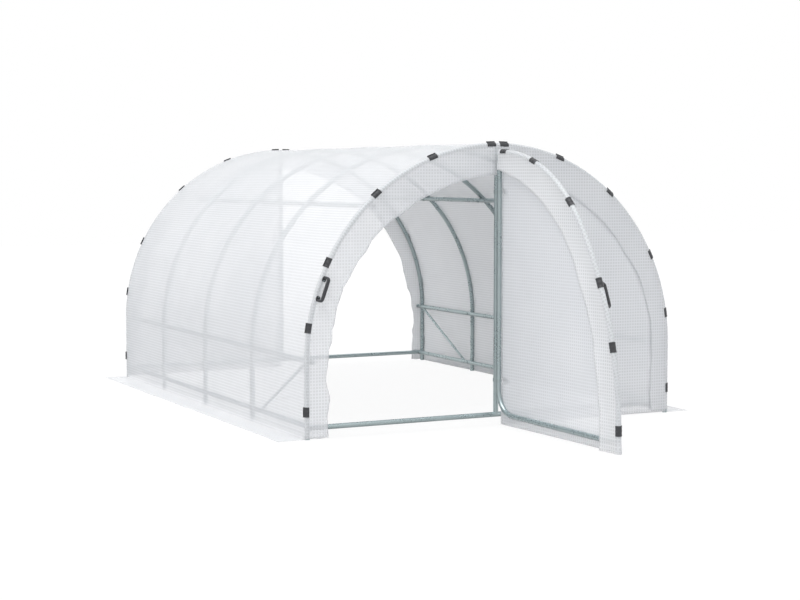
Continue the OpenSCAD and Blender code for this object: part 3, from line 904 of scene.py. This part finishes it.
def leaf_tube_line():
    """Stations round the leaf's tube in its plane: place, outward direction and the tube's radius, which
    is smaller in the joint between its two arcs. The lower rail falls a little to the free side."""
    quarter = math.pi / 2
    low, high = LEAF_BASE - RAIL_FALL, LEAF_BASE + RAIL_LIFT
    arcs = (
        (*LEAF_ARCS[CROWN], quarter, MEET + JOINT_HALF / CROWN_R, 40),
        (*LEAF_ARCS[HAUNCH], MEET - JOINT_HALF / HAUNCH_R, 0.0, 60),
        ((LEAF_W - CORNER_R, low + CORNER_R), CORNER_R, 0.0, -quarter, 8),
        ((LEAF_BEND, high + LEAF_BEND), LEAF_BEND, -quarter, -math.pi, 16),
        ((CORNER_R, LEAF_TOP - CORNER_R), CORNER_R, math.pi, quarter, 8),
    )
    line = []
    for number, (centre, radius, first, last, steps) in enumerate(arcs):
        turns = [first + (last - first) * k / steps for k in range(steps + 1)]
        part = [(*on_arc(centre, radius, turn), TUBE_R) for turn in turns]
        if number == CROWN:
            part.append((*part[-1][:2], TUBE_R - JOINT_DIP))
        elif number == HAUNCH:
            part.insert(0, (*part[0][:2], TUBE_R - JOINT_DIP))
        elif math.dist(part[0][0], line[-1][0]) < 1e-6:
            part = part[1:]
        line += part
    return line[:-1] if math.dist(line[0][0], line[-1][0]) < 1e-6 else line


def make_leaf_tube(material):
    """The leaf's bent tube, in one closed run."""
    sides = 28
    points, faces = [], []
    line = leaf_tube_line()
    for (x, z), (ox, oz), radius in line:
        for k in range(sides):
            turn = 2 * math.pi * k / sides
            reach = radius * math.cos(turn)
            points.append(leaf_place(x + ox * reach, radius * math.sin(turn), z + oz * reach))
    for i in range(len(line)):
        faces += ring_faces(i * sides, (i + 1) % len(line) * sides, sides)
    tube = plain_piece("tube_leaf", shell("tube", points, faces), material, sharp=40)
    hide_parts("door_frame")
    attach(tube, "door")


# Fittings


def points_tree(name, inputs, output):
    """A tree that takes points, some named inputs and a finish. Gives the tree and its start."""
    tree = bpy.data.node_groups.new(name, "GeometryNodeTree")
    tree.is_modifier = True
    sockets = (("Points", "Geometry", None), *inputs, ("Finish", "Material", None))
    for label, kind, default in sockets:
        socket = tree.interface.new_socket(name=label, in_out="INPUT", socket_type="NodeSocket" + kind)
        if default is not None:
            socket.default_value = default
    tree.interface.new_socket(name=output, in_out="OUTPUT", socket_type="NodeSocketGeometry")
    return tree, tree.nodes.new("NodeGroupInput")


def end_on_points(tree, start, shape, scale=(1.0, 1.0, 1.0)):
    """Ends a tree with a shape on each point, turned as the point says, made real and finished."""
    turn = add(tree, "GeometryNodeInputNamedAttribute", {"Name": "turn"}, data_type="FLOAT_VECTOR")
    rotation = add(tree, "FunctionNodeEulerToRotation", {0: turn.outputs[0]})
    placed = add(tree, "GeometryNodeInstanceOnPoints",
                 {"Points": start.outputs["Points"], "Instance": shape,
                  "Rotation": rotation.outputs[0], "Scale": scale})
    real = add(tree, "GeometryNodeRealizeInstances", {0: placed.outputs[0]})
    done = add(tree, "GeometryNodeSetMaterial",
               {"Geometry": real.outputs[0], "Material": start.outputs["Finish"]})
    add(tree, "NodeGroupOutput", {0: done.outputs[0]})


def scatter_tree():
    """Puts one piece on each point."""
    tree, start = points_tree(
        "Fit pieces on points", (("Piece", "Object", None), ("Size", "Float", 1.0)), "Pieces")
    shape = add(tree, "GeometryNodeObjectInfo", {"Object": start.outputs["Piece"]})
    end_on_points(tree, start, shape.outputs["Geometry"], start.outputs["Size"])


def bolt_tree():
    """Makes a hexagon head with a chamfered top on a round washer at each point."""
    tree, start = points_tree(
        "Bolts on points",
        (("Head width", "Float", 0.011), ("Head height", "Float", 0.0045), ("Washer", "Float", 0.0015)),
        "Bolts")
    width, height = start.outputs["Head width"], start.outputs["Head height"]
    washer = start.outputs["Washer"]
    corner = calc(tree, "MULTIPLY", width, 0.57735)
    ring = calc(tree, "MULTIPLY", width, 0.95)
    body = calc(tree, "MULTIPLY", height, 0.78)
    cap = calc(tree, "MULTIPLY", height, 0.22)
    disc = add(tree, "GeometryNodeMeshCylinder", {"Vertices": 20, "Radius": ring, "Depth": washer})
    hexagon = add(tree, "GeometryNodeMeshCylinder", {"Vertices": 6, "Radius": corner, "Depth": body})
    top = add(tree, "GeometryNodeMeshCone",
              {"Vertices": 6, "Radius Bottom": corner,
               "Radius Top": calc(tree, "MULTIPLY", corner, 0.82), "Depth": cap})
    joined = tree.nodes.new("GeometryNodeJoinGeometry")
    levels = ((top.outputs["Mesh"], calc(tree, "ADD", washer, body)),
              (hexagon.outputs["Mesh"], calc(tree, "ADD", washer, calc(tree, "MULTIPLY", body, 0.5))),
              (disc.outputs["Mesh"], calc(tree, "MULTIPLY", washer, 0.5)))
    for mesh, level in levels:
        place = add(tree, "ShaderNodeCombineXYZ", {2: level})
        moved = add(tree, "GeometryNodeTransform", {"Geometry": mesh, "Translation": place.outputs[0]})
        tree.links.new(moved.outputs[0], joined.inputs[0])
    end_on_points(tree, start, joined.outputs[0])


def fit_on_points(name, tree_name, places, material, sharp, **inputs):
    """Runs a tree on points that have a place and a turning, and gives the plain piece."""
    mesh = bpy.data.meshes.new(name + "_points")
    mesh.from_pydata([place for place, _ in places], [], [])
    turns = mesh.attributes.new("turn", "FLOAT_VECTOR", "POINT")
    turns.data.foreach_set("vector", [v for _, matrix in places for v in matrix.to_euler()])
    points = linked(name + "_points", mesh)
    tree = bpy.data.node_groups[tree_name]
    modifier = points.modifiers.new("fit", "NODES")
    modifier.node_group = tree
    values = {"Finish": material, **inputs}
    for item in tree.interface.items_tree:
        if item.in_out == "INPUT" and item.name in values:
            modifier[item.identifier] = values[item.name]
    return plain_piece(name, points, material, sharp)


def turned(out, toward):
    """A turning with its x outward, its y toward a second direction and its z across both."""
    return Matrix((out, toward, out.cross(toward))).transposed()


def clip_template(name, path):
    """A clip whose wall follows a path of points and outward directions in its x and y, along z,
    with beads at its ends and in its middle."""
    fit = bpy.context.scene.tunnel_fittings
    half, wall = fit.clip_length / 2, fit.clip_wall
    points, faces = [], []
    for share, thick in CLIP_BEADS:
        for (x, y), (ox, oy), end in path:
            points.append((x + ox * wall * thick * end, y + oy * wall * thick * end, share * half))
        for (x, y), _, _ in reversed(path):
            points.append((x, y, share * half))
    loop = 2 * len(path)
    last = (len(CLIP_BEADS) - 1) * loop
    for first in range(0, last, loop):
        faces += ring_faces(first, first + loop, loop)
    for base in (0, last):
        for m in range(len(path) - 1):
            faces.append((base + m, base + m + 1, base + loop - 2 - m, base + loop - 1 - m))
    return shell(name, points, faces)


def ring_path(radius, first, last, steps):
    """Points and outward directions round a tube."""
    turns = [first + (last - first) * k / steps for k in range(steps + 1)]
    return [(*on_arc((0.0, 0.0), radius, turn), 1.0) for turn in turns]


def clip_templates():
    """The clip of an arch and the clip of the leaf, each from its wing round the tube to its lip."""
    fit = bpy.context.scene.tunnel_fittings
    lip, flare = fit.clip_lip, fit.clip_flare
    wing = [((SEAT + out * flare, -back * flare), (lean, math.sqrt(1 - lean ** 2)), end)
            for out, back, lean, end in CLIP_WING]
    flat = [((-lip / 2, SEAT), (0.0, 1.0), 1.0), ((-lip, SEAT), (-0.4, 0.92), 0.85),
            ((-lip - 0.0012, SEAT), (-0.8, 0.6), 0.4)]
    arch_path = wing + ring_path(SEAT, 0.0, math.pi / 2, 8) + flat
    leaf_wing = [((y, x), (oy, ox), end) for (x, y), (ox, oy), end in wing]
    leaf_lip = [((x, -y), (ox, -oy), end) for (x, y), (ox, oy), end in flat]
    leaf_path = leaf_wing + ring_path(SEAT, math.pi / 2, -math.pi / 2, 14) + leaf_lip
    return clip_template("arch_clip", arch_path), clip_template("leaf_clip", leaf_path)


def make_clips(material):
    """Clips over the film on both end arches and round the leaf's edge."""
    arch_clip, leaf_clip = clip_templates()
    for end, (y, sign) in ENDS.items():
        toward = Vector((0, sign, 0))
        places = []
        for side in (-1, 1):
            spots = [((ARCH_R, CLIP_LOW), (1.0, 0.0))]
            spots += [on_arc((0.0, LEG_H), ARCH_R, math.radians(angle)) for angle in CLIP_ANGLES]
            for (x, z), (nx, nz) in spots:
                matrix = turned(Vector((side * nx, 0, nz)), toward)
                places.append(((side * x, y + sign * FLAP_STEP, z), matrix))
        clips = fit_on_points("clips_" + end, "Fit pieces on points", places, material, 35,
                              Piece=arch_clip)
        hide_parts("arch_clips_" + end)
        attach(clips, "tunnel")
    reach = bpy.context.scene.tunnel_fittings.clip_length / 2 + CLIP_END_GAP
    spots = [(CROWN, math.pi / 2 - reach / CROWN_R), (HAUNCH, reach / HAUNCH_R)]
    spots += [(CROWN, MEET + share * (math.pi / 2 - MEET)) for share in CROWN_CLIPS]
    spots += [(HAUNCH, MEET * share) for share in HAUNCH_CLIPS]
    places = []
    for arc, turn in spots:
        (x, z), (along_x, up) = on_arc(*LEAF_ARCS[arc], turn)
        out = LEAF_ALONG * along_x + Vector((0, 0, up))
        places.append((leaf_place(x, 0.0, z), turned(out, LEAF_OUTSIDE)))
    clips = fit_on_points("clips_leaf", "Fit pieces on points", places, material, 35, Piece=leaf_clip)
    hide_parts("door_clips")
    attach(clips, "door")
    bpy.data.objects.remove(arch_clip)
    bpy.data.objects.remove(leaf_clip)


def rounded(width, height, count):
    """Points of a rounded rectangle round the origin."""
    points = []
    for k in range(count):
        turn = 2 * math.pi * (k + 0.5) / count
        c, s = math.cos(turn), math.sin(turn)
        points.append((width / 2 * math.copysign(abs(c) ** 0.5, c),
                       height / 2 * math.copysign(abs(s) ** 0.5, s)))
    return points


def grip_template():
    """A moulded grip along x on two feet: a rounded bar, bent down at both ends to flat pads."""
    fit = bpy.context.scene.tunnel_fittings
    rise, bend_steps = fit.grip_out - fit.grip_depth / 2, 6
    path = [(GRIP_HALF, 0.002, 0.0)]
    for k in range(bend_steps + 1):
        turn = math.pi / 2 * k / bend_steps
        x, z = on_arc((GRIP_HALF - GRIP_BEND, rise - GRIP_BEND), GRIP_BEND, turn)[0]
        path.append((x, z, turn))
    path += [(0.03, rise, math.pi / 2), (0.0, rise, math.pi / 2)]
    path += [(-x, z, math.pi - turn) for x, z, turn in reversed(path[:-1])]
    points, faces, loops = [], [], []
    for x, z, turn in path:
        swell = 1 + 0.10 * math.cos(math.pi / 2 * x / GRIP_HALF)
        ox, oz = math.cos(turn), math.sin(turn)
        loops.append([(x + ox * v, w * swell - GRIP_LEAN * z, z + oz * v)
                      for w, v in rounded(fit.grip_width * 0.92, fit.grip_depth, 20)])
    loft(points, faces, loops)
    for side in (-1, 1):
        loops = []
        for scale, z in ((1.0, 0.0), (1.0, PAD_EDGE), (0.93, PAD_HIGH)):
            loops.append([(side * PAD_PLACE + px * scale, py * scale, z)
                          for px, py in rounded(PAD_LONG, PAD_WIDE, 24)])
        loft(points, faces, loops)
    return shell("grip", points, faces)


def grip_places():
    """Where the arch's and the leaf's grips stand: place, and a turning along, across and out."""
    turn = math.radians(ARCH_GRIP)
    across = Vector((-math.cos(turn), 0, math.sin(turn)))
    out = Vector((0, -1, 0))
    spot = Vector((0, FRONT_Y - FLAP_STEP - SEAT, LEG_H)) + across * (ARCH_R - ARCH_GRIP_IN)
    arch = (spot, Matrix((across.cross(out), across, out)).transposed())
    turn = HAUNCH_CLIPS[0] * MEET - LEAF_GRIP_DROP / HAUNCH_R
    (x, z), (along_x, up) = on_arc(LEAF_ARCS[HAUNCH][0], HAUNCH_R - LEAF_GRIP_IN, turn)
    across = LEAF_ALONG * along_x + Vector((0, 0, up))
    spot = Vector(leaf_place(x, SEAT, z))
    leaf = (spot, Matrix((across.cross(LEAF_OUTSIDE), across, LEAF_OUTSIDE)).transposed())
    return arch, leaf


def fit_bolts(name, body, places, material, heads):
    """Bolts or screws with heads of one size, on one body."""
    bolts = fit_on_points(name, "Bolts on points", places, material, 30, **heads)
    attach(bolts, body)


def make_grips(plastic, metal):
    """A grip on the front arch and one on the leaf, each held by two screws."""
    grip = grip_template()
    for place, body, node in zip(grip_places(), ("tunnel", "door"), ("arch_handle", "door_handle")):
        piece = fit_on_points("grip_" + body, "Fit pieces on points", [place], plastic, 40, Piece=grip)
        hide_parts(node)
        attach(piece, body)
        spot, matrix = place
        screws = [(spot + matrix @ Vector((side * SCREW_PLACE, 0, SCREW_SEAT)), matrix) for side in (-1, 1)]
        fit_bolts("grip_screws_" + body, body, screws, metal, SCREW_HEADS)
    bpy.data.objects.remove(grip)


def facing(direction):
    """A turning that points z along a direction."""
    return Vector(direction).to_track_quat("Z", "Y").to_matrix()


def make_bolts(material):
    """Bolts where the rails cross the arches, at the braces' ends and through the hinge straps."""
    fit = bpy.context.scene.tunnel_fittings
    places = []
    for y in ARCH_YS:
        for side in (-1, 1):
            level = Vector((-side, 0, 0))
            for z in [MID_H] if y in (FRONT_Y, BACK_Y) else [MID_H, BASE_H]:
                places.append((Vector((side * RAIL_X, y, z)) + level * TUBE_R, facing(level)))
            inward = Vector((-side * PURLIN_X, 0, LEG_H - PURLIN_H)).normalized()
            places.append((Vector((side * PURLIN_X, y, PURLIN_H)) + inward * TUBE_R, facing(inward)))
    fit_bolts("rail_bolts", "tunnel", places, material,
              {"Head width": fit.bolt_width, "Head height": fit.bolt_height})
    places = []
    for node, side, direction in (("brace_front_left", -1, 1), ("brace_back_right", 1, -1)):
        low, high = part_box(node)
        for share in BRACE_ENDS:
            run = (high.y - low.y) * share
            y = low.y + run if direction > 0 else high.y - run
            z = high.z - (high.z - low.z) * share
            places.append((Vector((side * (RAIL_X - BRACE_R), y, z)), facing((-side, 0, 0))))
    fit_bolts("brace_bolts", "tunnel", places, material, BRACE_HEADS)
    places = []
    web = Vector((HINGE_X, HINGE_Y - FRONT_Y, 0))
    across = Vector((-web.y, web.x, 0)).normalized()
    for z in HINGE_HEIGHTS:
        centre = Vector((0, FRONT_Y, z)) + web * 0.5
        for sign in (-1, 1):
            places.append((centre + across * sign * STRAP_WEB, facing(across * sign)))
    fit_bolts("hinge_bolts", "tunnel", places, material, HINGE_HEADS)


# Operators


class GREENHOUSE_OT_finishes(bpy.types.Operator):
    """Makes the finishes and node trees, and puts zinc and plastic on the frame's own pieces"""

    bl_idname = "greenhouse.finishes"
    bl_label = "Make the finishes"

    def execute(self, context):
        threads_group()
        patches_group()
        scatter_tree()
        bolt_tree()
        metal = context.scene.tunnel_metal
        film_material()
        zinc = zinc_material("galvanised tube", metal.colour, metal.spangle, 0.27)
        strap_colour = tuple(c * 0.92 for c in metal.colour)
        fittings = zinc_material("zinc fittings", strap_colour, metal.spangle * 0.5, 0.30)
        plastic = black_material()
        slots = {"steel": zinc, "black": plastic}
        for part in frame["record"]["subparts"]:
            finish = slots.get(part["material_slot"])
            if finish is not None:
                give_finish(frame["nodes"][part["node"]].data, finish)
        give_finish(frame["nodes"]["door_hinges"].data, fittings)
        return {"FINISHED"}


class GREENHOUSE_OT_cover(bpy.types.Operator):
    """Lays the film over the arches, with its skirts and end flaps"""

    bl_idname = "greenhouse.cover"
    bl_label = "Lay the cover"

    def execute(self, context):
        make_cover(bpy.data.materials["reinforced film"])
        return {"FINISHED"}


class GREENHOUSE_OT_panels(bpy.types.Operator):
    """Hangs the two fixed end panels"""

    bl_idname = "greenhouse.panels"
    bl_label = "Hang the end panels"

    def execute(self, context):
        film = bpy.data.materials["reinforced film"]
        make_panel("film_front_panel_right", 1, "front", film)
        make_panel("film_back_panel_left", -1, "back", film)
        return {"FINISHED"}


class GREENHOUSE_OT_leaf(bpy.types.Operator):
    """Bends the door leaf's tube and stretches its film"""

    bl_idname = "greenhouse.leaf"
    bl_label = "Cover the door leaf"

    def execute(self, context):
        make_leaf_tube(bpy.data.materials["galvanised tube"])
        make_leaf_film(bpy.data.materials["reinforced film"])
        return {"FINISHED"}


class GREENHOUSE_OT_clips(bpy.types.Operator):
    """Snaps the clips over the film"""

    bl_idname = "greenhouse.clips"
    bl_label = "Fit the clips"

    def execute(self, context):
        make_clips(bpy.data.materials["moulded black plastic"])
        return {"FINISHED"}


class GREENHOUSE_OT_grips(bpy.types.Operator):
    """Screws the two grips on"""

    bl_idname = "greenhouse.grips"
    bl_label = "Fit the grips"

    def execute(self, context):
        make_grips(bpy.data.materials["moulded black plastic"], bpy.data.materials["zinc fittings"])
        return {"FINISHED"}


class GREENHOUSE_OT_bolts(bpy.types.Operator):
    """Bolts the rails, braces and hinges"""

    bl_idname = "greenhouse.bolts"
    bl_label = "Fit the bolts"

    def execute(self, context):
        make_bolts(bpy.data.materials["zinc fittings"])
        return {"FINISHED"}


class GREENHOUSE_OT_stage(bpy.types.Operator):
    """Sets the floor, the light and the camera"""

    bl_idname = "greenhouse.stage"
    bl_label = "Set the stage"

    def execute(self, context):
        scene = context.scene
        studio = scene.tunnel_stage
        scene.view_settings.view_transform = "Standard"
        set_world(scene, studio.sky)
        set_floor(studio.floor_colour)
        lamp = bpy.data.lights.new("soft_key", "SUN")
        lamp.energy = studio.key
        lamp.angle = math.radians(50)
        key = linked("soft_key", lamp)
        key.rotation_euler = (math.radians(8.6), math.radians(-16.5), 0)
        set_camera(scene)
        return {"FINISHED"}


def set_world(scene, strength):
    """Soft light from all round, with plain white behind the object."""
    world = bpy.data.worlds.new("studio")
    scene.world = world
    world.use_nodes = True
    tree = world.node_tree
    tree.nodes.clear()
    light = add(tree, "ShaderNodeBackground", {"Color": (0.97, 0.985, 1, 1), "Strength": strength})
    white = add(tree, "ShaderNodeBackground", {"Color": (1, 1, 1, 1), "Strength": 1.0})
    mixed = add(tree, "ShaderNodeMixShader",
                {0: seen_plainly(tree), 1: light.outputs[0], 2: white.outputs[0]})
    out = tree.nodes.new("ShaderNodeOutputWorld")
    tree.links.new(mixed.outputs[0], out.inputs["Surface"])


def set_floor(colour):
    """A pale floor that looks white and keeps a soft shadow."""
    mesh = bpy.data.meshes.new("floor")
    half = 30.0
    mesh.from_pydata([(-half, -half, 0), (half, -half, 0), (half, half, 0), (-half, half, 0)], [],
                     [(0, 1, 2, 3)])
    floor = linked("floor", mesh)
    floor.location.z = -0.0005
    material, tree, shader = new_material("studio floor")
    shader.inputs["Base Color"].default_value = rgba(colour)
    shader.inputs["Roughness"].default_value = 0.9
    glow = add(tree, "ShaderNodeEmission", {"Color": (1, 1, 1, 1), "Strength": FLOOR_GLOW})
    share = calc(tree, "MULTIPLY", seen_plainly(tree), FLOOR_WHITE)
    mixed = add(tree, "ShaderNodeMixShader", {0: share, 1: shader.outputs[0], 2: glow.outputs[0]})
    tree.links.new(mixed.outputs[0], tree.nodes["Material Output"].inputs["Surface"])
    mesh.materials.append(material)


def set_camera(scene):
    """The photograph's view of the door end and the left side."""
    lens = bpy.data.cameras.new("camera")
    lens.sensor_width = 36.0
    lens.lens = 74.68
    camera = linked("camera", lens)
    camera.location = (-5.9446, FRONT_Y - 10.2956, 1.7997)
    camera.rotation_euler = (math.pi / 2 - 0.0752, 0.0, -0.4656)
    scene.camera = camera


class GREENHOUSE_PT_panel(bpy.types.Panel):
    """Lists the steps and the settings"""

    bl_idname = "GREENHOUSE_PT_panel"
    bl_label = "Polytunnel greenhouse"
    bl_space_type = "VIEW_3D"
    bl_region_type = "UI"
    bl_category = "Polytunnel"

    def draw(self, context):
        for operator in OPERATORS:
            self.layout.operator(operator.bl_idname)
        for name, group in SETTINGS:
            settings = getattr(context.scene, name)
            for label in group.__annotations__:
                self.layout.prop(settings, label)


SETTINGS = (
    ("tunnel_film", FilmSettings),
    ("tunnel_metal", MetalSettings),
    ("tunnel_fittings", FittingSettings),
    ("tunnel_stage", StageSettings),
)
OPERATORS = (
    GREENHOUSE_OT_finishes,
    GREENHOUSE_OT_cover,
    GREENHOUSE_OT_panels,
    GREENHOUSE_OT_leaf,
    GREENHOUSE_OT_clips,
    GREENHOUSE_OT_grips,
    GREENHOUSE_OT_bolts,
    GREENHOUSE_OT_stage,
)


def register():
    for name, group in SETTINGS:
        bpy.utils.register_class(group)
        setattr(bpy.types.Scene, name, bpy.props.PointerProperty(type=group))
    for operator in OPERATORS:
        bpy.utils.register_class(operator)
    bpy.utils.register_class(GREENHOUSE_PT_panel)


def unregister():
    bpy.utils.unregister_class(GREENHOUSE_PT_panel)
    for operator in reversed(OPERATORS):
        bpy.utils.unregister_class(operator)
    for name, group in reversed(SETTINGS):
        delattr(bpy.types.Scene, name)
        bpy.utils.unregister_class(group)


def main():
    register()
    bpy.ops.greenhouse.finishes()
    bpy.ops.greenhouse.cover()
    bpy.ops.greenhouse.panels()
    bpy.ops.greenhouse.leaf()
    bpy.ops.greenhouse.clips()
    bpy.ops.greenhouse.grips()
    bpy.ops.greenhouse.bolts()
    bpy.ops.greenhouse.stage()


if __name__ == "__main__":
    main()
